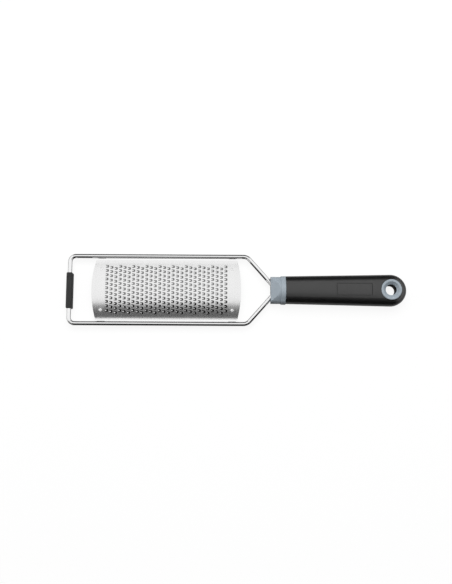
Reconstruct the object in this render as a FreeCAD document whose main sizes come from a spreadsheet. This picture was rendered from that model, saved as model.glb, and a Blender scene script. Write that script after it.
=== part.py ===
import FreeCAD, Part
import math
import os
import Sketcher
from FreeCAD import Placement, Rotation, Vector

# A wide hand rasp: an arched toothed blade in a bent wire frame, with a plastic handle.
# It lies flat with +X to the handle's end and +Z up, and stands on its foot and its grip.
# Every piece is drawn with the collar's front face at X = 0, then set along X as a whole.

SIZES = {
    # Clearance between pieces that fit into each other, and how far cuts run past a face.
    "fit_gap": 0.05,
    "cut_overrun": 1.0,
    # Wire frame
    "wire_diameter": 4.0,
    "wire_height": 6.5,
    "rail_spacing": 64.0,
    "front_bend_radius": 5.5,
    "shoulder_length": 22.1,
    "shoulder_bend_radius": 8.0,
    "tang_spacing": 8.0,
    "tang_bend_depth": 2.6,
    "tang_bend_radius": 5.0,
    "tang_cover": 23.0,
    # Arched blade
    "blade_length": 132.7,
    "blade_bow": 3.9,
    "blade_to_shoulder": 9.55,
    "blade_to_crossbar": 25.25,
    "blade_thickness": 0.5,
    "blade_crown_radius": 88.0,
    "blade_flare_run": 4.8,
    "blade_flange": 0.2,
    "blade_rail_gap": 0.3,
    # Teeth of the blade
    "column_pitch": 4.14,
    "row_pitch": 4.22,
    "tooth_end_margin": 10.35,
    "tooth_side_margin": 1.2,
    "window_length": 2.9,
    "window_width": 2.7,
    "window_corner_radius": 1.0,
    "tooth_length": 1.4,
    "tooth_width": 1.05,
    "tooth_tip_radius": 0.5,
    "tooth_thickness": 0.3,
    "tooth_rise": 0.5,
    "tooth_root": 0.4,
    # Straps and rivets that carry the blade
    "strap_width": 7.0,
    "strap_thickness": 1.0,
    "strap_tab_length": 1.0,
    "rivet_end_margin": 4.55,
    "rivet_side_margin": 10.2,
    "rivet_diameter": 2.0,
    "rivet_head_diameter": 3.0,
    "rivet_head_height": 0.35,
    "rivet_tail_height": 0.5,
    # Front foot
    "foot_length": 34.0,
    "foot_width": 5.6,
    "foot_rise": 3.3,
    "foot_offset": 1.0,
    "foot_edge_radius": 1.2,
    "foot_end_chamfer": 0.7,
    # Collar
    "collar_block_length": 9.4,
    "collar_bead_length": 4.8,
    "collar_width": 25.2,
    "collar_inset": 0.9,
    "collar_crown_radius": 14.0,
    "collar_crown_fall": 9.5,
    "collar_corner_radius": 4.0,
    "collar_shoulder_radius": 6.5,
    "collar_top_slope_drop": 5.0,
    "collar_bottom_slope_drop": 1.2,
    "collar_slope_margin": 0.6,
    "collar_bead_proud": 0.6,
    "collar_bead_radius": 0.6,
    # Grip and its core
    "grip_length": 112.9,
    "grip_front_width": 26.0,
    "grip_rear_width": 29.8,
    "grip_thickness": 18.0,
    "grip_front_crown_radius": 30.0,
    "grip_rear_crown_radius": 60.0,
    "grip_edge_radius": 8.0,
    "grip_wall": 3.2,
    "core_corner_radius": 4.5,
    "core_end_wall": 8.5,
    "label_length": 33.4,
    "label_width": 11.7,
    "label_groove_width": 0.6,
    "label_groove_depth": 1.4,
    "label_corner_radius": 0.8,
    "label_to_eyelet": 8.1,
    # Eyelet rings of the hang hole
    "eyelet_diameter": 19.3,
    "eyelet_rim": 2.0,
    "eyelet_rim_radius": 0.6,
    "eyelet_depth": 3.6,
    "eyelet_throat_length": 1.0,
    "hang_hole_diameter": 10.2,
}

# Columns of teeth stand in turn a quarter pitch to the far side, centred and to the near side.
STAGGER_SHARES = (0.25, 0.0, -0.25)

# A rounding takes at most this share of the wall, or of the half side, that it is cut in.
ROUNDING_LIMIT_SHARE = 0.9

# Places along X, from the collar's front face, and heights, as expressions on the sheet.
GRIP_FRONT = "(dims.collar_block_length + dims.collar_bead_length)"
GRIP_END = f"({GRIP_FRONT} + dims.grip_length)"
EYELET_X = f"({GRIP_END} - dims.grip_rear_width / 2)"
CORE_END = f"({EYELET_X} - dims.eyelet_diameter / 2 - dims.core_end_wall)"
TANG_END = f"({CORE_END} - dims.tang_cover)"
MIDDLE = "(dims.grip_thickness / 2)"
BLADE_REAR = "(0 - dims.shoulder_length - dims.blade_to_shoulder)"
BLADE_X = f"({BLADE_REAR} - dims.blade_length / 2)"
CROSSBAR_X = f"({BLADE_REAR} - dims.blade_length - dims.blade_to_crossbar)"
CENTRING = f"((dims.foot_width / 2 - {CROSSBAR_X} - {GRIP_END}) / 2)"

# Sections that one piece fills and another is hollowed to take.
CORE_WIDTH = "(dims.grip_front_width - 2 * dims.grip_wall)"
CORE_THICKNESS = "(dims.grip_thickness - 2 * dims.grip_wall)"
CORE_CORNER = f"min(dims.core_corner_radius; {ROUNDING_LIMIT_SHARE} * {CORE_THICKNESS} / 2)"
WIRE_BORE = "(dims.wire_diameter + 2 * dims.fit_gap)"

doc = FreeCAD.newDocument("hand_rasp")
sheet = doc.addObject("Spreadsheet::Sheet", "dims")
for row, (alias, size) in enumerate(SIZES.items(), start=1):
    sheet.set(f"A{row}", alias)
    sheet.set(f"B{row}", str(size))
    sheet.setAlias(f"B{row}", alias)
doc.recompute()


def value(expression):
    """The number that an expression on the sheet has now."""
    result = sheet.evalExpression(expression)
    return float(getattr(result, "Value", result))


def new_body(label):
    """An empty body, set along X so that the whole part is centred."""
    body = doc.addObject("PartDesign::Body", label)
    body.Label = label
    body.setExpression("Placement.Base.x", CENTRING)
    return body


def sketch_on(body, name, role, offset="0"):
    """A sketch on one of the body's own origin planes, moved along that plane's normal."""
    plane = next(feature for feature in body.Origin.OriginFeatures if feature.Role == role)
    sketch = body.newObject("Sketcher::SketchObject", name)
    sketch.AttachmentSupport = (plane, [""])
    sketch.MapMode = "FlatFace"
    sketch.setExpression("AttachmentOffset.Base.z", offset)
    return sketch


def bind(sketch, constraint, expression):
    """Add a constraint whose size follows an expression."""
    index = sketch.addConstraint(constraint)
    sketch.setExpression(f"Constraints[{index}]", expression)


def locate(sketch, geometry, position, corner):
    """Hold a point of the sketch at the place that two expressions give."""
    for kind, axis, expression in (("DistanceX", -2, corner[0]), ("DistanceY", -1, corner[1])):
        distance = value(expression)
        if distance == 0:
            sketch.addConstraint(Sketcher.Constraint("PointOnObject", geometry, position, axis))
        else:
            bind(sketch, Sketcher.Constraint(kind, -1, 1, geometry, position, distance), expression)


def add_circle(sketch, centre, diameter):
    """A circle held at its centre and diameter."""
    middle = Vector(value(centre[0]), value(centre[1]), 0)
    radius = value(diameter) / 2
    circle = sketch.addGeometry(Part.Circle(middle, Vector(0, 0, 1), radius))
    locate(sketch, circle, 3, centre)
    bind(sketch, Sketcher.Constraint("Diameter", circle, 2 * radius), diameter)


def bend_at(corner, before, after, radius):
    """The arc that rounds a corner: its centre, its two tangent points and whether it turns left."""
    towards = (corner - before).normalize()
    away = (after - corner).normalize()
    turn = towards.getAngle(away)
    left = towards.cross(away).z > 0
    setback = radius * math.tan(turn / 2)
    entry = corner - towards * setback
    leave = corner + away * setback
    across = Vector(-towards.y, towards.x, 0)
    centre = entry + across * (radius if left else -radius)
    return centre, entry, leave, left


def draw_outline(sketch, corners, radii, closed=True):
    """Straight edges through corners, with an arc at each corner that has a radius.

    A corner is a pair of expressions and a radius is an expression, or None for a sharp corner.
    """
    count = len(corners)
    points = [Vector(value(across), value(along), 0) for across, along in corners]
    bends = {}
    for index, radius in enumerate(radii):
        if radius is not None:
            before, after = points[index - 1], points[(index + 1) % count]
            bends[index] = bend_at(points[index], before, after, value(radius))
    lines = []
    for index in range(count if closed else count - 1):
        following = (index + 1) % count
        start = bends[index][2] if index in bends else points[index]
        end = bends[following][1] if following in bends else points[following]
        lines.append(sketch.addGeometry(Part.LineSegment(start, end)))
    for index in range(count):
        if index not in bends:
            if closed:
                sketch.addConstraint(
                    Sketcher.Constraint("Coincident", lines[index - 1], 2, lines[index], 1)
                )
            if index < len(lines):
                locate(sketch, lines[index], 1, corners[index])
            else:
                locate(sketch, lines[index - 1], 2, corners[index])
            continue
        centre, entry, leave, left = bends[index]
        radius = (entry - centre).Length
        first, last = (entry, leave) if left else (leave, entry)
        angles = [math.atan2(end.y - centre.y, end.x - centre.x) for end in (first, last)]
        circle = Part.Circle(centre, Vector(0, 0, 1), radius)
        arc = sketch.addGeometry(Part.ArcOfCircle(circle, angles[0], angles[1]))
        mark = sketch.addGeometry(Part.Point(points[index]), True)
        locate(sketch, mark, 1, corners[index])
        meet, part_from = (1, 2) if left else (2, 1)
        for line, end, arc_end in ((lines[index - 1], 2, meet), (lines[index], 1, part_from)):
            sketch.addConstraint(Sketcher.Constraint("PointOnObject", mark, 1, line))
            sketch.addConstraint(Sketcher.Constraint("Tangent", line, end, arc, arc_end))
        bind(sketch, Sketcher.Constraint("Radius", arc, radius), radii[index])


def draw_rounded_box(sketch, width, height, middle, radius):
    """A rectangle with round corners, centred across and at a height."""
    left, right = f"-{width} / 2", f"{width} / 2"
    low, high = f"{middle} - {height} / 2", f"{middle} + {height} / 2"
    draw_outline(sketch, [(left, low), (right, low), (right, high), (left, high)], [radius] * 4)


def draw_crowned_box(sketch, width, low, top, crown_radius):
    """A section centred across whose upper faces fall to both sides from a round crown."""
    side = f"{width} / 2"
    rise = f"(sqrt(({side}) ^ 2 + dims.collar_crown_fall ^ 2) / ({side}) - 1)"
    ridge = f"{top} + {crown_radius} * {rise}"
    eaves = f"{ridge} - dims.collar_crown_fall"
    corners = [(f"-{side}", low), (side, low), (side, eaves), ("0", ridge), (f"-{side}", eaves)]
    radius, shoulder = "dims.collar_corner_radius", "dims.collar_shoulder_radius"
    draw_outline(sketch, corners, [radius, radius, shoulder, crown_radius, shoulder])


def draw_core_room(sketch):
    """The core's section with room round it, for the pieces that it fits into."""
    width = f"({CORE_WIDTH} + 2 * dims.fit_gap)"
    thickness = f"({CORE_THICKNESS} + 2 * dims.fit_gap)"
    draw_rounded_box(sketch, width, thickness, MIDDLE, f"({CORE_CORNER} + dims.fit_gap)")


def extrude(body, kind, sketch, name, length=None, symmetric=False, backwards=False):
    """A Pad or Pocket of the sketch, through everything where it has no length."""
    feature = body.newObject(f"PartDesign::{kind}", name)
    feature.Profile = sketch
    feature.SideType = "Symmetric" if symmetric else "One side"
    feature.Reversed = backwards
    if length is None:
        feature.Type = "ThroughAll"
    else:
        feature.setExpression("Length", length)
    doc.recompute()
    return feature


def sweep(body, kind, path, profile, name):
    """An AdditivePipe or SubtractivePipe of the profile along every edge of the path."""
    pipe = body.newObject(f"PartDesign::{kind}", name)
    pipe.Profile = profile
    pipe.Spine = (path, [f"Edge{index + 1}" for index in range(len(path.Shape.Edges))])
    doc.recompute()
    return pipe


def round_edges(body, kind, feature, name, size, wanted):
    """A Fillet or Chamfer on the edges of a feature that the test picks out."""
    names = [f"Edge{index + 1}" for index, edge in enumerate(feature.Shape.Edges) if wanted(edge)]
    dressed = body.newObject(f"PartDesign::{kind}", name)
    dressed.Base = (feature, names)
    dressed.setExpression("Radius" if kind == "Fillet" else "Size", size)
    doc.recompute()
    return dressed


def crown_section(body, name, place, top, half_width, radius):
    """A sketch across the handle of what lies above a crown of one radius and top height."""
    sketch = sketch_on(body, name, "YZ_Plane", place)
    half = f"min({half_width}; {ROUNDING_LIMIT_SHARE} * {radius})"
    low = f"{top} - {radius} + sqrt({radius} ^ 2 - {half} ^ 2)"
    above = f"{top} + dims.cut_overrun"
    corners = [(f"-{half}", low), (f"-{half}", above), (half, above), (half, low)]
    draw_outline(sketch, corners, [None] * 4, closed=False)
    lean = math.asin(value(half) / value(radius))
    circle = Part.Circle(Vector(0, value(f"{top} - {radius}"), 0), Vector(0, 0, 1), value(radius))
    arc = sketch.addGeometry(Part.ArcOfCircle(circle, math.pi / 2 - lean, math.pi / 2 + lean))
    for arc_end, side, side_end in ((1, 2, 2), (2, 0, 1)):
        sketch.addConstraint(Sketcher.Constraint("Coincident", arc, arc_end, side, side_end))
    bind(sketch, Sketcher.Constraint("Radius", arc, value(radius)), radius)
    return sketch


def lies_at(edge, axis, place):
    """Whether a whole edge lies in the plane where one coordinate has a given value."""
    box = edge.BoundBox
    low, high = {"x": (box.XMin, box.XMax), "y": (box.YMin, box.YMax), "z": (box.ZMin, box.ZMax)}[axis]
    near = value("dims.fit_gap") / 2
    return abs(low - place) < near and abs(high - place) < near


def wire_half(side):
    """Corners of the wire's run from a rail into the handle, on one side."""
    rail = f"{side}dims.rail_spacing / 2"
    tang = f"{side}dims.tang_spacing / 2"
    return ("0 - dims.shoulder_length", rail), ("dims.tang_bend_depth", tang), rail, tang


def make_wire_frame():
    """One rod: tang, shoulder, far rail, crossbar, near rail, shoulder, tang."""
    body = new_body("wire_frame")
    far_shoulder, far_bend, far_rail, far_tang = wire_half("")
    near_shoulder, near_bend, near_rail, near_tang = wire_half("-")
    corners = [(TANG_END, far_tang), far_bend, far_shoulder, (CROSSBAR_X, far_rail)]
    corners += [(CROSSBAR_X, near_rail), near_shoulder, near_bend, (TANG_END, near_tang)]
    bends = ["dims.tang_bend_radius", "dims.shoulder_bend_radius", "dims.front_bend_radius"]
    path = sketch_on(body, "wire_path", "XY_Plane", "dims.wire_height")
    draw_outline(path, corners, [None, *bends, *reversed(bends), None], closed=False)
    section = sketch_on(body, "wire_section", "YZ_Plane", TANG_END)
    add_circle(section, (far_tang, "dims.wire_height"), "dims.wire_diameter")
    doc.recompute()
    sweep(body, "AdditivePipe", path, section, "wire_rod")
    return body


def blade_arch():
    """Centres, radii and angles of the blade's upper face, across Y and up Z."""
    half_width = value("dims.rail_spacing / 2 - dims.wire_diameter / 2 - dims.blade_rail_gap")
    crown_radius = value("dims.blade_crown_radius")
    flange_start = half_width - value("dims.blade_flange")
    flange_top = value("dims.wire_height + dims.blade_thickness / 2")
    flare_run = value("dims.blade_flare_run")
    crown_angle = math.asin((flange_start - flare_run) / crown_radius)
    flare_radius = flare_run / math.sin(crown_angle)
    rise = (crown_radius + flare_radius) * (1 - math.cos(crown_angle))
    return {
        "half_width": half_width,
        "crown_radius": crown_radius,
        "crown_angle": crown_angle,
        "crown_centre": Vector(0, 0, flange_top + rise - crown_radius),
        "flare_radius": flare_radius,
        "flare_centre": Vector(0, flange_start, flange_top + flare_radius),
    }


def mirrored(point):
    """The same point on the other side of the part's middle plane."""
    return Vector(point.x, -point.y, point.z)


def arch_line(arch, inset):
    """Arcs of the blade's section, set in from its upper face, and the far ends of crown and flare."""

    def crown(angle):
        radius = arch["crown_radius"] - inset
        return arch["crown_centre"] + Vector(0, math.sin(angle), math.cos(angle)) * radius

    def flare(angle):
        radius = arch["flare_radius"] + inset
        return arch["flare_centre"] - Vector(0, math.sin(angle), math.cos(angle)) * radius

    start = crown(arch["crown_angle"])
    middle = flare(arch["crown_angle"] / 2)
    end = flare(0)
    arcs = [
        Part.Arc(mirrored(end), mirrored(middle), mirrored(start)).toShape(),
        Part.Arc(mirrored(start), crown(0), start).toShape(),
        Part.Arc(start, middle, end).toShape(),
    ]
    return arcs, start, end


def band_face(edges):
    """The flat face inside a closed set of edges."""
    return Part.Face(Part.Wire(Part.__sortEdges__(edges)))


def line(start, end):
    return Part.LineSegment(start, end).toShape()


def sheet_section(arch):
    """The blade's section: an arch that flares out to flat flanges beside the rails."""
    edges = []
    tips = []
    for inset in (0, value("dims.blade_thickness")):
        arcs, _, end = arch_line(arch, inset)
        tip = Vector(0, arch["half_width"], end.z)
        edges += [*arcs, line(end, tip), line(mirrored(end), mirrored(tip))]
        tips.append(tip)
    edges += [line(*tips), line(*(mirrored(tip) for tip in tips))]
    return band_face(edges)


def on_crown(shape, arch, along, angle):
    """A copy of a shape drawn at the crown's top, set along X and turned round the crown."""
    turn = Rotation(Vector(1, 0, 0), -math.degrees(angle))
    copy = shape.copy()
    copy.Placement = Placement(Vector(along, 0, 0), turn, arch["crown_centre"])
    return copy


def tooth_window(arch):
    """The opening of one tooth at the crown's top: square to the front, round to the handle."""
    overrun = value("dims.cut_overrun")
    half_length = value("dims.window_length") / 2
    half_width = value("dims.window_width") / 2
    radius = value("dims.window_corner_radius")
    top = arch["crown_centre"].z + arch["crown_radius"] + overrun
    depth = value("dims.blade_thickness") + 2 * overrun
    corner = Vector(half_length - radius, half_width - radius, top)
    slant = radius / math.sqrt(2)
    far = [corner + Vector(0, radius, 0), corner + Vector(slant, slant, 0), corner + Vector(radius, 0, 0)]
    near = [mirrored(point) for point in far]
    front = Vector(-half_length, half_width, top)
    edges = [
        line(front, far[0]),
        Part.Arc(*far).toShape(),
        line(far[2], near[2]),
        Part.Arc(*near).toShape(),
        line(near[0], mirrored(front)),
        line(mirrored(front), front),
    ]
    return band_face(edges).extrude(Vector(0, 0, -depth))


def tooth_tongue(arch):
    """One tooth at the crown's top: a thin tongue that rises towards the handle."""
    face = arch["crown_centre"].z + arch["crown_radius"]
    thick = value("dims.tooth_thickness")
    half_width = value("dims.tooth_width") / 2
    front = -value("dims.window_length") / 2
    root = front - value("dims.tooth_root")
    tip = front + value("dims.tooth_length")
    low = face - value("dims.blade_thickness") / 2 - thick / 2
    rise = face + value("dims.tooth_rise") - thick
    profile = [(root, low), (front, low), (tip, rise), (tip, rise + thick)]
    profile += [(front, low + thick), (root, low + thick), (root, low)]
    side = [Vector(along, -half_width, height) for along, height in profile]
    blank = Part.Face(Part.makePolygon(side)).extrude(Vector(0, 2 * half_width, 0))
    tips = [
        edge
        for edge in blank.Edges
        if lies_at(edge, "x", tip) and edge.BoundBox.YLength < half_width
    ]
    radius = min(value("dims.tooth_tip_radius"), ROUNDING_LIMIT_SHARE * half_width)
    return blank.makeFillet(radius, tips)


def rivet_places(arch):
    """X of each strap's middle and the angles of its two rivets round the crown."""
    reach = value("dims.blade_length / 2 - dims.rivet_end_margin")
    across = arch["half_width"] - value("dims.rivet_side_margin")
    angle = math.asin(across / arch["crown_radius"])
    return [value(BLADE_X) - reach, value(BLADE_X) + reach], [angle, -angle]


def rivet_holes(arch):
    """Cylinders square to the blade at each rivet, with room round the rivet's shank."""
    radius = value("dims.rivet_diameter / 2 + dims.fit_gap")
    overrun = value("dims.cut_overrun")
    depth = value("dims.blade_thickness + dims.strap_thickness + dims.fit_gap") + 2 * overrun
    top = arch["crown_centre"].z + arch["crown_radius"] + overrun
    drill = Part.makeCylinder(radius, depth, Vector(0, 0, top), Vector(0, 0, -1))
    straps, angles = rivet_places(arch)
    return [on_crown(drill, arch, along, angle) for along in straps for angle in angles]


def toothed_strip(section, arch, shift):
    """One column of teeth in a strip of the sheet as wide as the column pitch."""
    pitch = value("dims.column_pitch")
    row_pitch = value("dims.row_pitch")
    arc_half = arch["crown_radius"] * arch["crown_angle"]
    room = arc_half - value("dims.tooth_side_margin + dims.window_width / 2")
    room -= max(STAGGER_SHARES) * row_pitch
    rows = int(2 * room / row_pitch) + 1
    strip = section.extrude(Vector(pitch, 0, 0))
    strip.translate(Vector(-pitch / 2, 0, 0))
    window, tongue = tooth_window(arch), tooth_tongue(arch)
    angles = [((row - (rows - 1) / 2 + shift) * row_pitch) / arch["crown_radius"] for row in range(rows)]
    windows = [on_crown(window, arch, 0, angle) for angle in angles]
    tongues = [on_crown(tongue, arch, 0, angle) for angle in angles]
    return strip.cut(Part.makeCompound(windows)).multiFuse(tongues)


def bowed_end(section, arch, start):
    """The toothless end of the sheet from X = start, cut to a shallow bow at +X."""
    straight = value("dims.blade_length") / 2
    bow = value("dims.blade_bow")
    radius = (arch["half_width"] ** 2 + bow**2) / (2 * bow)
    beyond = arch["half_width"] + value("dims.cut_overrun")
    centre = straight + bow - radius
    corner = Vector(centre + math.sqrt(radius**2 - beyond**2), beyond, 0)
    back = Vector(start, beyond, 0)
    outline = [
        Part.Arc(mirrored(corner), Vector(straight + bow, 0, 0), corner).toShape(),
        line(corner, back),
        line(back, mirrored(back)),
        line(mirrored(back), mirrored(corner)),
    ]
    crown = arch["crown_centre"].z + arch["crown_radius"]
    prism = band_face(outline).extrude(Vector(0, 0, crown + value("dims.cut_overrun")))
    blank = section.extrude(Vector(straight + bow + value("dims.cut_overrun") - start, 0, 0))
    blank.translate(Vector(start, 0, 0))
    return blank.common(prism)


def add_feature(label, shape):
    """A document object that holds a shape, set along X with the rest of the part."""
    feature = doc.addObject("Part::Feature", label)
    feature.Label = label
    feature.Shape = shape
    feature.setExpression("Placement.Base.x", CENTRING)
    return feature


def make_grater_blade(arch):
    """The arched sheet, column by column, with its bowed ends and its rivet holes."""
    section = sheet_section(arch)
    pitch = value("dims.column_pitch")
    room = value("dims.blade_length - 2 * dims.tooth_end_margin")
    columns = int(room / pitch) + 1
    strips = [toothed_strip(section, arch, share) for share in STAGGER_SHARES]
    pieces = []
    for column in range(columns):
        strip = strips[column % len(strips)].copy()
        strip.translate(Vector((column - (columns - 1) / 2) * pitch, 0, 0))
        pieces.append(strip)
    rear = bowed_end(section, arch, columns * pitch / 2)
    front = rear.mirror(Vector(0, 0, 0), Vector(1, 0, 0))
    blade = rear.multiFuse([*pieces, front])
    blade.translate(Vector(value(BLADE_X), 0, 0))
    return add_feature("grater_blade", blade.cut(Part.makeCompound(rivet_holes(arch))))


def strap_section(arch):
    """A strap's section: it follows the crown's underside and slants down to tabs under the rails."""
    inset = value("dims.blade_thickness + dims.fit_gap")
    thick = value("dims.strap_thickness")
    tab_top = value("dims.wire_height - dims.wire_diameter / 2")
    tab_end = value("dims.rail_spacing / 2 + dims.strap_tab_length")
    rail_side = value("dims.rail_spacing / 2 - dims.wire_diameter / 2")
    edges = []
    tips = []
    for depth in (0, thick):
        (_, crown, _), leave, _ = arch_line(arch, inset + depth)
        edges.append(crown)
        slant = math.atan2(leave.z - tab_top + depth, rail_side - leave.y)
        foot = Vector(0, rail_side - depth * math.tan(slant / 2), tab_top - depth)
        tip = Vector(0, tab_end, tab_top - depth)
        for flip in (Vector, mirrored):
            edges += [line(flip(leave), flip(foot)), line(flip(foot), flip(tip))]
        tips.append(tip)
    edges += [line(*tips), line(*(mirrored(tip) for tip in tips))]
    return band_face(edges)


def make_straps(arch):
    """Two curved straps under the toothless ends of the blade."""
    width = value("dims.strap_width")
    holes = Part.makeCompound(rivet_holes(arch))
    places, _ = rivet_places(arch)
    straps = []
    for label, place in zip(("front_strap", "rear_strap"), places):
        strap = strap_section(arch).extrude(Vector(width, 0, 0))
        strap.translate(Vector(place - width / 2, 0, 0))
        straps.append(add_feature(label, strap.cut(holes)))
    return straps


def make_rivets(arch):
    """Four rivets: a low dome on the blade, a shank and a closed tail under the strap."""
    face = arch["crown_centre"].z + arch["crown_radius"]
    shank = value("dims.rivet_diameter") / 2
    head = value("dims.rivet_head_diameter") / 2
    dome = value("dims.rivet_head_height")
    under = face - value("dims.blade_thickness + dims.fit_gap + dims.strap_thickness")
    tail = under - value("dims.rivet_tail_height")
    sphere = (head**2 + dome**2) / (2 * dome)
    lean = math.asin(head / sphere) / 2
    crest = Vector(0, 0, face + dome)
    shoulder = crest + Vector(sphere * math.sin(lean), 0, sphere * (math.cos(lean) - 1))
    profile = [(head, face), (shank, face), (shank, under), (head, under), (head, tail), (0, tail)]
    corners = [Vector(radius, 0, height) for radius, height in profile]
    edges = [Part.Arc(crest, shoulder, corners[0]).toShape(), line(corners[-1], crest)]
    edges += [line(start, end) for start, end in zip(corners, corners[1:])]
    rivet = band_face(edges).revolve(Vector(0, 0, 0), Vector(0, 0, 1), 360)
    straps, angles = rivet_places(arch)
    copies = [on_crown(rivet, arch, along, angle) for along in straps for angle in angles]
    return add_feature("blade_rivets", Part.makeCompound(copies))


def make_foot():
    """A rubber block round the crossbar, which stands on the table."""
    body = new_body("front_foot")
    front, rear = (f"{CROSSBAR_X} {sign} dims.foot_width / 2" for sign in "-+")
    top = "dims.wire_height + dims.foot_rise"
    section = sketch_on(body, "foot_section", "XZ_Plane", "dims.foot_offset")
    corners = [(front, "0"), (rear, "0"), (rear, top), (front, top)]
    draw_outline(section, corners, ["dims.foot_edge_radius"] * 4)
    add_circle(section, (CROSSBAR_X, "dims.wire_height"), WIRE_BORE)
    block = extrude(body, "Pad", section, "foot_block", "dims.foot_length", symmetric=True)
    ends = [value(f"0 - dims.foot_offset {sign} dims.foot_length / 2") for sign in "-+"]
    reach = value("dims.wire_diameter")

    def outer(edge):
        """An edge of an end face's outline, and not of the wire's hole in it."""
        at_end = any(lies_at(edge, "y", end) for end in ends)
        return at_end and not (edge.Closed and edge.BoundBox.XLength < 2 * reach)

    wall = f"(min(dims.foot_width / 2; dims.foot_rise) - {WIRE_BORE} / 2)"
    chamfer = f"min(dims.foot_end_chamfer; {ROUNDING_LIMIT_SHARE} * {wall})"
    round_edges(body, "Chamfer", block, "foot_ends", chamfer, outer)
    return body


def make_collar():
    """A ferrule: a block with sloped faces, a bead, a socket for the core and two wire bores."""
    body = new_body("handle_collar")
    block_height = "(dims.grip_thickness - 2 * dims.collar_inset)"
    bead_width = "(dims.collar_width + 2 * dims.collar_bead_proud)"
    crown = "dims.collar_crown_radius"
    bead = sketch_on(body, "bead_section", "YZ_Plane", "dims.collar_block_length")
    draw_crowned_box(bead, bead_width, "0", "dims.grip_thickness", crown)
    ring = extrude(body, "Pad", bead, "collar_bead", "dims.collar_bead_length")
    faces = [value("dims.collar_block_length"), value(GRIP_FRONT)]

    def bead_rim(edge):
        """An edge round one of the bead's two faces."""
        return any(lies_at(edge, "x", face) for face in faces)

    step = "min(dims.collar_bead_proud; dims.collar_inset)"
    rim_radius = f"min(dims.collar_bead_radius; {ROUNDING_LIMIT_SHARE} * {step})"
    round_edges(body, "Fillet", ring, "bead_rims", rim_radius, bead_rim)
    block = sketch_on(body, "block_section", "YZ_Plane")
    top = f"({MIDDLE} + {block_height} / 2)"
    bottom = f"({MIDDLE} - {block_height} / 2)"
    block_crown = f"({crown} - dims.collar_inset)"
    draw_crowned_box(block, "dims.collar_width", bottom, top, block_crown)
    extrude(body, "Pad", block, "collar_block", "dims.collar_block_length")
    slope_end = "dims.collar_block_length - dims.collar_slope_margin"
    ahead = "0 - dims.cut_overrun"
    slopes = sketch_on(body, "slope_wedges", "XZ_Plane")
    for face, drop, away in (
        (top, "- dims.collar_top_slope_drop", "+"),
        (bottom, "+ dims.collar_bottom_slope_drop", "-"),
    ):
        steep = f"{drop} * (1 + dims.cut_overrun / ({slope_end}))"
        wedge = [(slope_end, face), (slope_end, f"{face} {away} dims.cut_overrun")]
        wedge += [(ahead, f"{face} {away} dims.cut_overrun"), (ahead, f"{face} {steep}")]
        draw_outline(slopes, wedge, [None] * 4)
    extrude(body, "Pocket", slopes, "collar_slopes", "2 * dims.collar_width", symmetric=True)
    socket = sketch_on(body, "socket_section", "YZ_Plane", "dims.collar_block_length")
    draw_core_room(socket)
    extrude(body, "Pocket", socket, "core_socket", "dims.collar_bead_length", backwards=True)
    for side, name in (("", "far"), ("-", "near")):
        shoulder, bend, _, tang = wire_half(side)
        path = sketch_on(body, f"{name}_bore_path", "XY_Plane", "dims.wire_height")
        draw_outline(
            path,
            [(GRIP_FRONT, tang), bend, shoulder],
            [None, "dims.tang_bend_radius", None],
            closed=False,
        )
        bore = sketch_on(body, f"{name}_bore_section", "YZ_Plane", GRIP_FRONT)
        add_circle(bore, (tang, "dims.wire_height"), WIRE_BORE)
        doc.recompute()
        sweep(body, "SubtractivePipe", path, bore, f"{name}_wire_bore")
    return body


def make_core():
    """The hard core inside the grip, which holds both tangs."""
    body = new_body("handle_core")
    section = sketch_on(body, "core_section", "YZ_Plane", "dims.collar_block_length")
    draw_rounded_box(section, CORE_WIDTH, CORE_THICKNESS, MIDDLE, CORE_CORNER)
    extrude(body, "Pad", section, "core_block", f"{CORE_END} - dims.collar_block_length")
    bores = sketch_on(body, "tang_bores", "YZ_Plane", "dims.collar_block_length")
    for side in ("", "-"):
        add_circle(bores, (f"{side}dims.tang_spacing / 2", "dims.wire_height"), WIRE_BORE)
    depth = f"{TANG_END} - dims.collar_block_length + dims.fit_gap"
    extrude(body, "Pocket", bores, "tang_holes", depth, backwards=True)
    return body


def draw_grip_outline(sketch):
    """A straight front, two sides that spread to the rear and a round end tangent to both."""
    radius = value("dims.grip_rear_width") / 2
    centre = Vector(value(EYELET_X), 0, 0)
    corner = Vector(value(GRIP_FRONT), value("dims.grip_front_width") / 2, 0)
    spoke = corner - centre
    tangent = math.atan2(spoke.y, spoke.x) - math.acos(radius / spoke.Length)
    touch = centre + Vector(math.cos(tangent), math.sin(tangent), 0) * radius
    near = sketch.addGeometry(Part.LineSegment(mirrored(corner), mirrored(touch)))
    far = sketch.addGeometry(Part.LineSegment(corner, touch))
    face = sketch.addGeometry(Part.LineSegment(mirrored(corner), corner))
    circle = Part.Circle(centre, Vector(0, 0, 1), radius)
    end = sketch.addGeometry(Part.ArcOfCircle(circle, -tangent, tangent))
    for side, edge, face_end in (("-", near, 1), ("", far, 2)):
        locate(sketch, edge, 1, (GRIP_FRONT, f"{side}dims.grip_front_width / 2"))
        sketch.addConstraint(Sketcher.Constraint("Coincident", edge, 1, face, face_end))
        sketch.addConstraint(Sketcher.Constraint("Tangent", edge, 2, end, face_end))
    locate(sketch, end, 3, (EYELET_X, "0"))
    bind(sketch, Sketcher.Constraint("Radius", end, radius), "dims.grip_rear_width / 2")


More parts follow.
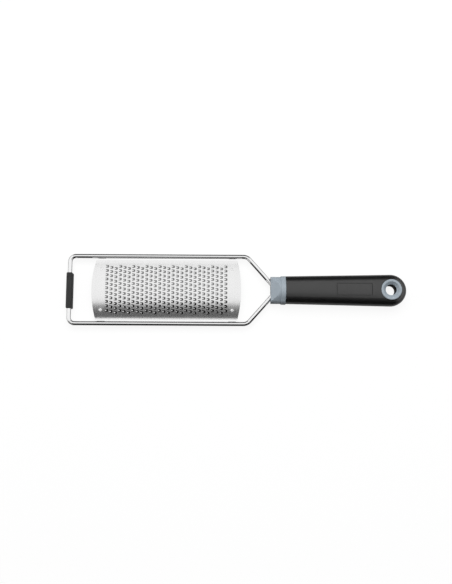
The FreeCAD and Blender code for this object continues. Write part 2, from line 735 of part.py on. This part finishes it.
def make_grip():
    """The grip: a tapered outline with a round end, rounded all along, hollow for the core."""
    body = new_body("handle_grip")
    outline = sketch_on(body, "grip_outline", "XY_Plane")
    draw_grip_outline(outline)
    extrude(body, "Pad", outline, "grip_block", "dims.grip_thickness")
    top = "dims.grip_thickness"
    half_grip = "(dims.grip_rear_width / 2 + dims.fit_gap)"
    block = body.newObject("PartDesign::SubtractiveLoft", "grip_crown")
    block.Profile = crown_section(
        body, "above_front", GRIP_FRONT, top, half_grip, "dims.grip_front_crown_radius"
    )
    block.Sections = [
        crown_section(body, "above_rear", GRIP_END, top, half_grip, "dims.grip_rear_crown_radius")
    ]
    block.Ruled = True
    doc.recompute()
    middle = value(MIDDLE)
    front_face = value(GRIP_FRONT)

    def long_edge(edge):
        """An edge of the top or bottom face, apart from its front edge."""
        on_top = edge.BoundBox.ZMin > middle
        return (on_top or lies_at(edge, "z", 0)) and not lies_at(edge, "x", front_face)

    rounding = f"min(dims.grip_edge_radius; {ROUNDING_LIMIT_SHARE} * {MIDDLE})"
    round_edges(body, "Fillet", block, "grip_rounding", rounding, long_edge)
    cavity = sketch_on(body, "core_cavity", "YZ_Plane", GRIP_FRONT)
    draw_core_room(cavity)
    cavity_depth = f"{CORE_END} - {GRIP_FRONT} + dims.fit_gap"
    extrude(body, "Pocket", cavity, "core_hollow", cavity_depth, backwards=True)
    hole = sketch_on(body, "hang_hole", "XY_Plane", "dims.grip_thickness")
    add_circle(hole, (EYELET_X, "0"), "dims.hang_hole_diameter")
    extrude(body, "Pocket", hole, "hang_bore", "dims.grip_thickness")
    for name, height, upwards in (("top", "dims.grip_thickness", False), ("bottom", "0", True)):
        seat = sketch_on(body, f"{name}_eyelet_seat", "XY_Plane", height)
        add_circle(seat, (EYELET_X, "0"), "dims.eyelet_diameter + 2 * dims.fit_gap")
        extrude(body, "Pocket", seat, f"{name}_seat", "dims.eyelet_depth", backwards=upwards)
    label = sketch_on(body, "label_frame", "XY_Plane", "dims.grip_thickness")
    label_end = f"({EYELET_X} - dims.eyelet_diameter / 2 - dims.label_to_eyelet)"
    for inset in ("0", "dims.label_groove_width"):
        left, right = f"{label_end} - dims.label_length + {inset}", f"{label_end} - {inset}"
        low, high = f"{inset} - dims.label_width / 2", f"dims.label_width / 2 - {inset}"
        corners = [(left, low), (right, low), (right, high), (left, high)]
        draw_outline(label, corners, ["dims.label_corner_radius"] * 4)
    extrude(body, "Pocket", label, "label_groove", "dims.label_groove_depth")
    return body


def make_eyelet(label, underside):
    """A ring with a flat rim and a funnel down to the hang hole's throat."""
    body = new_body(label)
    outer = "dims.eyelet_diameter / 2"
    mouth = f"{outer} - dims.eyelet_rim"
    throat = "dims.hang_hole_diameter / 2"
    profile = sketch_on(body, "ring_profile", "XZ_Plane")
    corners = [(throat, "0"), (outer, "0"), (outer, "dims.eyelet_depth")]
    corners += [(mouth, "dims.eyelet_depth"), (throat, "dims.eyelet_throat_length")]
    radii = [None, None, "dims.eyelet_rim_radius", "dims.eyelet_rim_radius", None]
    draw_outline(profile, corners, radii)
    ring = body.newObject("PartDesign::Revolution", "ring_turned")
    ring.Profile = profile
    ring.ReferenceAxis = (profile, ["V_Axis"])
    turn = Rotation(Vector(1, 0, 0), 180 if underside else 0)
    body.Placement = Placement(Vector(0, 0, 0), turn)
    body.setExpression("Placement.Base.x", f"{CENTRING} + {EYELET_X}")
    height = "dims.eyelet_depth" if underside else "dims.grip_thickness - dims.eyelet_depth"
    body.setExpression("Placement.Base.z", height)
    return body


arch = blade_arch()
nodes = [
    make_wire_frame(),
    make_grater_blade(arch),
    *make_straps(arch),
    make_rivets(arch),
    make_foot(),
    make_collar(),
    make_core(),
    make_grip(),
    make_eyelet("eyelet_ring_top", underside=False),
    make_eyelet("eyelet_ring_bottom", underside=True),
]
doc.recompute()

faults = [thing.Name for thing in doc.Objects if {"Invalid", "Error"} & set(thing.State)]
faults += [node.Label for node in nodes if node.Shape.isNull() or not node.Shape.isValid()]
if faults:
    raise RuntimeError(f"not built: {', '.join(faults)}")

os.makedirs("parts", exist_ok=True)
for node in nodes:
    node.Shape.exportStep(os.path.join("parts", f"{node.Label}.step"))
    solids = len(node.Shape.Solids)
    print(f"{node.Label}: {solids} solids, {node.Shape.Volume:.1f} mm3")
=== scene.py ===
import math
from collections import namedtuple

import bpy
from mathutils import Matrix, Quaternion, Vector


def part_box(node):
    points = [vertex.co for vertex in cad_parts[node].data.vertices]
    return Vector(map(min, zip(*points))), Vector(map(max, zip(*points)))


# Looks of a wide hand rasp: an arched toothed blade in a bent wire frame, with a plastic handle.
# All lengths are metres in the part's own frame: +X to the handle's end, +Y to the far rail, +Z up.
# The camera stands on the near side, which is -Y.

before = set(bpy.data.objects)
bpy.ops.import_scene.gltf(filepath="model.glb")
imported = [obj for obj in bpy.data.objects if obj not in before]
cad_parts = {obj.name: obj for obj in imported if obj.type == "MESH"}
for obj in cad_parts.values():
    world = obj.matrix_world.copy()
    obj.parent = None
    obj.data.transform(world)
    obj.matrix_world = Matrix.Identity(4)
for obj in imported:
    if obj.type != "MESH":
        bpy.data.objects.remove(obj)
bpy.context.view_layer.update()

WHITE = (1.0, 1.0, 1.0, 1.0)

# The photograph's height in pixels and its scale, and where the camera stands
IMAGE_HEIGHT = 584
METRES_PER_PIXEL = 0.000943
CAMERA_AIM = Vector((-0.0093, -0.0017, 0.0065))
CAMERA_DISTANCE = 0.8
CAMERA_ELEVATION = math.radians(82.0)
CAMERA_ROLL = math.radians(0.3)
SENSOR_MM = 36.0

# Noise mostly stays in this part of its range from 0 to 1
NOISE_LOW = 0.3
NOISE_HIGH = 0.7
# How far roughness goes below and above its middle value, and how strong most bumps are
ROUGHNESS_BELOW = 0.05
ROUGHNESS_ABOVE = 0.06
BUMP_STRENGTH = 0.5

# Blade: brushing, with its cells a metre along each axis, and a smoother margin along each side
# whose colour is a painted highlight
BRUSHING_CELLS = (3200.0, 30.0, 30.0)
BRUSHING_DEPTH = 0.000002
BRUSHING_TONES = (0.82, 0.88)
BRUSHING_ROUGHNESS = (0.21, 0.27)
BRUSHING_STRETCH = 0.5
BRUSHING_TURN = 0.25
BROAD_CELLS = (260.0, 5.0, 5.0)
MARGIN_WIDTH = 0.0008
# Colour of the painted highlight along each side of the blade
MARGIN_HIGHLIGHT_COLOUR = (0.97, 0.97, 0.97, 1.0)
MARGIN_POLISH = 0.1

# Wire: draw marks along the rails and a cloudy tone
DRAWN_CELLS = (60.0, 1400.0, 1400.0)
DRAWN_DEPTH = 0.000001
DRAWN_STRENGTH = 0.3
DRAWN_ROUGHNESS = (0.05, 0.1)
WIRE_CLOUD_CELLS = (120.0, 120.0, 120.0)
WIRE_DARK = (0.86, 0.86, 0.865)
WIRE_LIGHT = (0.91, 0.91, 0.91)

# Pressed steel, and moulded plastic with its fine grain and its broad change of tone
STEEL_CLOUD_CELLS = (700.0, 700.0, 700.0)
STEEL_CLOUD_DEPTH = 0.000006
GRAIN_CELLS = (2600.0, 2600.0, 2600.0)
GRAIN_BREAK_UP = 0.6
TONE_CELLS = (70.0, 90.0, 90.0)

# Floor: what it throws back on the part, its colour, and how far it is plain white to the camera
# and to the metal
FLOOR_SIZE = 12.0
FLOOR_BOUNCE = (0.3, 0.3, 0.3)
FLOOR_PALE = (0.95, 0.95, 0.95, 1.0)
FLOOR_SHADE = (0.03, 0.03, 0.03)
FLOOR_ROUGHNESS = 0.9
FLOOR_WHITE_SHARE = 0.9
FLOOR_MIRROR_SHARE = 0.2
# Shade on the floor: how far it goes past the piece over it along X and Y, and its edge's width
BLADE_SHADE_REACH = (-0.004, 0.0)
BLADE_SHADE_EDGE = (0.0065, 0.008)
HANDLE_SHADE_REACH = (0.006, 0.006)
HANDLE_SHADE_EDGE = (0.004, 0.004)
# Light that reaches the floor under the far half of the blade, and where across Y it comes in
UNDER_GLOW = 0.18
UNDER_GLOW_START = -0.014
UNDER_GLOW_END = 0.0

# Studio: a white room whose near and far sides are flagged off, and a soft lamp overhead
ROOM_STRENGTH = 1.0
KEY_SIZE = 1.2
KEY_HEIGHT = 1.5
KEY_LEAN = math.radians(30.0)
KEY_POWER = 21.0

# Flags: dark panels at one distance from the part, over a range of degrees from straight up,
# positive to the far side. Glossy surfaces see a shorter one, which may also end higher, so that
# the blade has something bright to reflect in low views.
FLAG_REACH = 1.2
FLAG_HALF_LENGTH = 3.0
Flag = namedtuple("Flag", "start end gloss_end level gloss_half_length")
FLAGS = {
    "near_edge": Flag(-12.0, -20.0, gloss_end=-20.0, level=0.17, gloss_half_length=1.6),
    "near_screen": Flag(-20.0, -40.0, gloss_end=-40.0, level=0.11, gloss_half_length=1.6),
    "near_flag": Flag(-40.0, -89.5, gloss_end=-68.0, level=0.01, gloss_half_length=0.7),
    "far_flag": Flag(47.0, 89.5, gloss_end=89.5, level=0.02, gloss_half_length=0.7),
}

# Cards, which only glossy surfaces see, draw the dark lines on the wires. Two lie on the floor,
# from an inner edge outwards, and the others stand upright on a line from one point to another.
CARD_LEVEL = 0.01
FLOOR_CARD_INNER = 0.046
FLOOR_CARD_LIFT = 0.0005
UprightCard = namedtuple("UprightCard", "start end height")
UPRIGHT_CARDS = {
    "near_rail_card": UprightCard((-0.2, -0.048), (0.06, -0.048), height=0.02),
    "near_handle_card": UprightCard((0.03, -0.042), (0.18, -0.042), height=0.04),
    "front_gap_card": UprightCard((-0.153, 0.016), (-0.138, 0.016), height=0.016),
    "far_shoulder_card": UprightCard((0.006, 0.021), (0.022, 0.005), height=0.014),
    "near_shoulder_card": UprightCard((0.016, -0.041), (0.036, -0.021), height=0.016),
}


class Tree:
    """A material's nodes, made one at a time and linked as they are made."""

    def __init__(self, name):
        self.material = bpy.data.materials.new(name)
        self.material.use_nodes = True
        self.nodes = self.material.node_tree.nodes
        self.links = self.material.node_tree.links
        self.shader = self.nodes["Principled BSDF"]
        self.output = self.nodes["Material Output"]

    def add(self, kind, inputs=None, **settings):
        """A node with its settings, whose inputs are values or other nodes' outputs."""
        node = self.nodes.new(kind)
        for key, setting in settings.items():
            setattr(node, key, setting)
        for key, given in (inputs or {}).items():
            self.feed(node.inputs[key], given)
        return node

    def feed(self, socket, given):
        """Set a socket to a value, or link it to another node's output."""
        if isinstance(given, bpy.types.NodeSocket):
            self.links.new(given, socket)
        else:
            socket.default_value = given

    def surface(self, **inputs):
        """Feed the shader's own sockets, whose names are given with underscores."""
        for key, given in inputs.items():
            self.feed(self.shader.inputs[key.replace("_", " ")], given)

    def show(self, shader):
        """Make a shader's output the material's surface."""
        self.links.new(shader, self.output.inputs["Surface"])

    def place(self):
        """The point's place in the part's frame."""
        return self.add("ShaderNodeTexCoord").outputs["Object"]

    def axes(self):
        """The point's place as the outputs X, Y and Z."""
        return self.add("ShaderNodeSeparateXYZ", {"Vector": self.place()}).outputs

    def noise(self, cells, detail, roughness=0.5):
        """Noise from 0 to 1 with so many cells a metre along each axis."""
        mapping = self.add("ShaderNodeMapping", {"Vector": self.place(), "Scale": cells})
        inputs = {
            "Vector": mapping.outputs["Vector"],
            "Scale": 1.0,
            "Detail": detail,
            "Roughness": roughness,
        }
        return self.add("ShaderNodeTexNoise", inputs).outputs["Fac"]

    def spread(self, noise, low, high):
        """Noise spread over a range of values."""
        inputs = {
            "Value": noise,
            "From Min": NOISE_LOW,
            "From Max": NOISE_HIGH,
            "To Min": low,
            "To Max": high,
        }
        return self.add("ShaderNodeMapRange", inputs).outputs["Result"]

    def rise(self, value, start, end, top=1.0):
        """A smooth rise from 0 at a start to the top at an end."""
        inputs = {"Value": value, "From Min": start, "From Max": end, "To Max": top}
        ramp = self.add("ShaderNodeMapRange", inputs, interpolation_type="SMOOTHSTEP")
        return ramp.outputs["Result"]

    def tint(self, noise, dark, light):
        """A colour between two, by noise."""
        ramp = self.add("ShaderNodeValToRGB", {"Fac": noise})
        low, high = ramp.color_ramp.elements
        low.position, low.color = NOISE_LOW, (*dark, 1.0)
        high.position, high.color = NOISE_HIGH, (*light, 1.0)
        return ramp.outputs["Color"]

    def blend(self, factor, first, second):
        """One colour turning into another by a factor."""
        inputs = {"Factor": factor, "A": first, "B": second}
        return self.add("ShaderNodeMix", inputs, data_type="RGBA").outputs["Result"]

    def compute(self, operation, first, second=0.0):
        """One step of arithmetic on two values or outputs."""
        step = self.add("ShaderNodeMath", {0: first, 1: second}, operation=operation)
        return step.outputs["Value"]

    def bump(self, height, distance, strength=BUMP_STRENGTH):
        """Normals of a relief of so many metres."""
        inputs = {"Height": height, "Distance": distance, "Strength": strength}
        return self.add("ShaderNodeBump", inputs).outputs["Normal"]

    def glow(self, strength):
        """A shader of one brightness, however it is lit."""
        inputs = {"Color": WHITE, "Strength": strength}
        return self.add("ShaderNodeEmission", inputs).outputs["Emission"]


def grey(level):
    """A colour with no hue."""
    return (level, level, level)


def brushed_steel():
    """Satin sheet, brushed across its width, with a smoother margin beside each rail that is
    lightened as a painted highlight.
    """
    tree = Tree("brushed_blade")
    streaks = tree.noise(BRUSHING_CELLS, detail=4.0)
    broad = tree.noise(BROAD_CELLS, detail=2.0)
    mean = tree.compute("MULTIPLY", tree.compute("ADD", streaks, broad), 0.5)
    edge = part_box("grater_blade")[1].y
    from_middle = tree.compute("ABSOLUTE", tree.axes()["Y"])
    # Painted highlight: beside each rail the colour is lifted towards white, and the roughness
    # drops a little
    highlight_margin = tree.rise(from_middle, edge - 2 * MARGIN_WIDTH, edge - MARGIN_WIDTH)
    dark, light = BRUSHING_TONES
    brushed = tree.tint(mean, grey(dark), grey(light))
    rough = tree.spread(streaks, *BRUSHING_ROUGHNESS)
    polish = tree.compute("MULTIPLY", highlight_margin, MARGIN_POLISH)
    around = tree.add("ShaderNodeTangent", direction_type="RADIAL", axis="X")
    tree.surface(
        Base_Color=tree.blend(highlight_margin, brushed, MARGIN_HIGHLIGHT_COLOUR),
        Metallic=1.0,
        Roughness=tree.compute("SUBTRACT", rough, polish),
        Anisotropic=BRUSHING_STRETCH,
        Anisotropic_Rotation=BRUSHING_TURN,
        Tangent=around.outputs["Tangent"],
        Normal=tree.bump(streaks, BRUSHING_DEPTH),
    )
    return tree.material


def polished_wire():
    """Bright drawn rod with faint draw marks along it."""
    tree = Tree("polished_wire")
    marks = tree.noise(DRAWN_CELLS, detail=3.0)
    cloud = tree.noise(WIRE_CLOUD_CELLS, detail=3.0)
    tree.surface(
        Base_Color=tree.tint(cloud, WIRE_DARK, WIRE_LIGHT),
        Metallic=1.0,
        Roughness=tree.spread(marks, *DRAWN_ROUGHNESS),
        Normal=tree.bump(marks, DRAWN_DEPTH, DRAWN_STRENGTH),
    )
    return tree.material


def plain_steel(name, dark, light, rough, metallic):
    """Smooth pressed steel with a cloudy finish."""
    tree = Tree(name)
    cloud = tree.noise(STEEL_CLOUD_CELLS, detail=5.0)
    tree.surface(
        Base_Color=tree.tint(cloud, grey(dark), grey(light)),
        Metallic=metallic,
        Roughness=tree.spread(cloud, rough - ROUGHNESS_BELOW, rough + ROUGHNESS_ABOVE),
        Normal=tree.bump(cloud, STEEL_CLOUD_DEPTH),
    )
    return tree.material


def moulded_plastic(name, dark, light, rough, grain, specular):
    """Moulded plastic with a fine spark-eroded grain and a faint change of tone."""
    tree = Tree(name)
    fine = tree.noise(GRAIN_CELLS, detail=3.0, roughness=GRAIN_BREAK_UP)
    cloud = tree.noise(TONE_CELLS, detail=4.0)
    tree.surface(
        Base_Color=tree.tint(cloud, dark, light),
        Roughness=tree.spread(fine, rough - ROUGHNESS_BELOW, rough + ROUGHNESS_ABOVE),
        Specular_IOR_Level=specular,
        Normal=tree.bump(fine, grain),
    )
    return tree.material


def dress_nodes():
    """Give every node of the part its material."""
    grey_plastic = moulded_plastic(
        "grey_plastic",
        dark=(0.29, 0.335, 0.375),
        light=(0.315, 0.36, 0.40),
        rough=0.42,
        grain=0.000012,
        specular=0.4,
    )
    strap_steel = plain_steel("strap_steel", dark=0.55, light=0.62, rough=0.3, metallic=1.0)
    wire = polished_wire()
    blade = brushed_steel()
    rivet_steel = plain_steel("rivet_steel", dark=0.82, light=0.9, rough=0.6, metallic=0.5)
    foot_rubber = moulded_plastic(
        "foot_rubber", grey(0.018), grey(0.024), rough=0.6, grain=0.00003, specular=0.45
    )
    core_plastic = moulded_plastic(
        "core_plastic", grey(0.55), grey(0.60), rough=0.5, grain=0.00001, specular=0.4
    )
    black_plastic = moulded_plastic(
        "black_plastic", grey(0.004), grey(0.006), rough=0.33, grain=0.000008, specular=0.95
    )
    materials = {
        "wire_frame": wire,
        "grater_blade": blade,
        "front_strap": strap_steel,
        "rear_strap": strap_steel,
        "blade_rivets": rivet_steel,
        "front_foot": foot_rubber,
        "handle_collar": grey_plastic,
        "handle_core": core_plastic,
        "handle_grip": black_plastic,
        "eyelet_ring_top": grey_plastic,
        "eyelet_ring_bottom": grey_plastic,
    }
    for node, material in materials.items():
        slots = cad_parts[node].data.materials
        slots.clear()
        slots.append(material)


def flat_panel(name, centre, across, along, material):
    """A stage panel: a rectangle spanned by two half sides."""
    corners = [
        centre - across - along,
        centre + across - along,
        centre + across + along,
        centre - across + along,
    ]
    mesh = bpy.data.meshes.new(name)
    mesh.from_pydata([tuple(corner) for corner in corners], [], [(0, 1, 2, 3)])
    mesh.materials.append(material)
    panel = bpy.data.objects.new(name, mesh)
    bpy.context.scene.collection.objects.link(panel)
    return panel


def unseen_panel(name, centre, across, along, material, glossy, matt):
    """A panel that the camera doesn't see, for glossy surfaces, for matt ones or for both."""
    panel = flat_panel(name, centre, across, along, material)
    panel.visible_camera = False
    panel.visible_glossy = glossy
    panel.visible_diffuse = matt
    panel.visible_shadow = matt


def glowing(name, level):
    """The material of a panel of one brightness."""
    tree = Tree(name)
    tree.show(tree.glow(level))
    return tree.material


def ray(degrees):
    """The direction so far from straight up, towards the far side, square to the tool's length."""
    angle = math.radians(degrees)
    return Vector((0.0, math.sin(angle), math.cos(angle)))


def make_room():
    """A white room, which lights the part from all round."""
    world = bpy.data.worlds.new("room")
    bpy.context.scene.world = world
    world.use_nodes = True
    background = world.node_tree.nodes["Background"]
    background.inputs["Color"].default_value = WHITE
    background.inputs["Strength"].default_value = ROOM_STRENGTH


def make_flags():
    """The dark panels on the room's near and far sides, one for each kind of surface."""
    for name, flag in FLAGS.items():
        material = glowing(name, flag.level)
        kinds = {
            "gloss": (flag.gloss_end, flag.gloss_half_length),
            "matt": (flag.end, FLAG_HALF_LENGTH),
        }
        for kind, (end, half_length) in kinds.items():
            top, foot = ray(flag.start) * FLAG_REACH, ray(end) * FLAG_REACH
            unseen_panel(
                f"{name}_{kind}",
                (top + foot) / 2,
                Vector((half_length, 0.0, 0.0)),
                (top - foot) / 2,
                material,
                glossy=kind == "gloss",
                matt=kind == "matt",
            )


def make_cards():
    """The dark cards on the floor and beside the wires and the handle."""
    cards = {}
    for name, side in (("near_card", -1), ("far_card", 1)):
        middle = Vector((0.0, side * (FLOOR_CARD_INNER + FLAG_REACH) / 2, FLOOR_CARD_LIFT))
        half_length = Vector((FLAG_HALF_LENGTH, 0.0, 0.0))
        half_width = Vector((0.0, (FLAG_REACH - FLOOR_CARD_INNER) / 2, 0.0))
        cards[name] = (middle, half_length, half_width)
    for name, card in UPRIGHT_CARDS.items():
        start, end = Vector((*card.start, 0.0)), Vector((*card.end, 0.0))
        half_height = Vector((0.0, 0.0, card.height / 2))
        cards[name] = ((start + end) / 2 + half_height, (end - start) / 2, half_height)
    for name, (middle, across, along) in cards.items():
        material = glowing(name, CARD_LEVEL)
        unseen_panel(name, middle, across, along, material, glossy=True, matt=False)


def make_lamp():
    """A soft lamp overhead, leaning to the far side."""
    lamp = bpy.data.lights.new("key", "AREA")
    lamp.size = KEY_SIZE
    lamp.energy = KEY_POWER
    key = bpy.data.objects.new("key", lamp)
    key.location = (0.0, math.sin(KEY_LEAN) * KEY_HEIGHT, math.cos(KEY_LEAN) * KEY_HEIGHT)
    key.rotation_euler = (-KEY_LEAN, 0.0, 0.0)
    key.visible_camera = False
    key.visible_glossy = False
    bpy.context.scene.collection.objects.link(key)


def clear_of(tree, node, reach, edge):
    """1 on the floor outside a node's box, widened by a reach for X and Y, and 0 under it."""
    low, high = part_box(node)
    axes = tree.axes()
    clear = 0.0
    for axis, name in enumerate("XY"):
        middle = (low[axis] + high[axis]) / 2
        half = (high[axis] - low[axis]) / 2 + reach[axis]
        offset = tree.compute("SUBTRACT", axes[name], middle)
        outside = tree.rise(tree.compute("ABSOLUTE", offset), half - edge[axis], half)
        clear = tree.compute("MAXIMUM", outside, clear)
    return clear


def floor_material():
    """Pale floor that the camera and the metal see as white, but for its shade under the part."""
    tree = Tree("pale_floor")
    path = tree.add("ShaderNodeLightPath").outputs
    under = tree.rise(tree.axes()["Y"], UNDER_GLOW_START, UNDER_GLOW_END, UNDER_GLOW)
    clear = clear_of(tree, "grater_blade", BLADE_SHADE_REACH, BLADE_SHADE_EDGE)
    lit = tree.compute("MAXIMUM", clear, under)

    bounce = tree.tint(lit, FLOOR_SHADE, FLOOR_BOUNCE)
    pale = tree.compute("MULTIPLY", path["Is Camera Ray"], lit)
    tree.surface(
        Base_Color=tree.blend(pale, bounce, FLOOR_PALE),
        Roughness=FLOOR_ROUGHNESS,
        Specular_IOR_Level=0.0,
    )

    mirrored = tree.compute("MAXIMUM", path["Is Glossy Ray"], path["Is Transmission Ray"])
    for node in ("handle_grip", "handle_collar"):
        clear = clear_of(tree, node, HANDLE_SHADE_REACH, HANDLE_SHADE_EDGE)
        mirrored = tree.compute("MULTIPLY", mirrored, clear)
    mirrored = tree.compute("MULTIPLY", mirrored, FLOOR_MIRROR_SHARE)
    direct = tree.compute("MULTIPLY", path["Is Camera Ray"], FLOOR_WHITE_SHARE)
    share = tree.compute("MULTIPLY", tree.compute("MAXIMUM", direct, mirrored), lit)
    shaders = {0: share, 1: tree.shader.outputs["BSDF"], 2: tree.glow(1.0)}
    tree.show(tree.add("ShaderNodeMixShader", shaders).outputs["Shader"])
    return tree.material


def make_floor():
    """The floor that the part lies on."""
    half = FLOOR_SIZE / 2
    across, along = Vector((half, 0.0, 0.0)), Vector((0.0, half, 0.0))
    flat_panel("floor", Vector((0.0, 0.0, 0.0)), across, along, floor_material())


def make_camera():
    """The photograph's camera: nearly overhead, from the near side, with a slight roll."""
    back = Vector((0.0, -math.cos(CAMERA_ELEVATION), math.sin(CAMERA_ELEVATION)))
    data = bpy.data.cameras.new("camera")
    data.sensor_width = SENSOR_MM
    data.lens = SENSOR_MM * CAMERA_DISTANCE / (IMAGE_HEIGHT * METRES_PER_PIXEL)
    camera = bpy.data.objects.new("camera", data)
    camera.location = CAMERA_AIM + back * CAMERA_DISTANCE
    camera.rotation_mode = "QUATERNION"
    camera.rotation_quaternion = back.to_track_quat("Z", "Y") @ Quaternion((0, 0, 1), CAMERA_ROLL)
    bpy.context.scene.collection.objects.link(camera)
    bpy.context.scene.camera = camera


dress_nodes()
make_room()
make_flags()
make_cards()
make_lamp()
make_floor()
make_camera()
bpy.context.scene.view_settings.view_transform = "Standard"
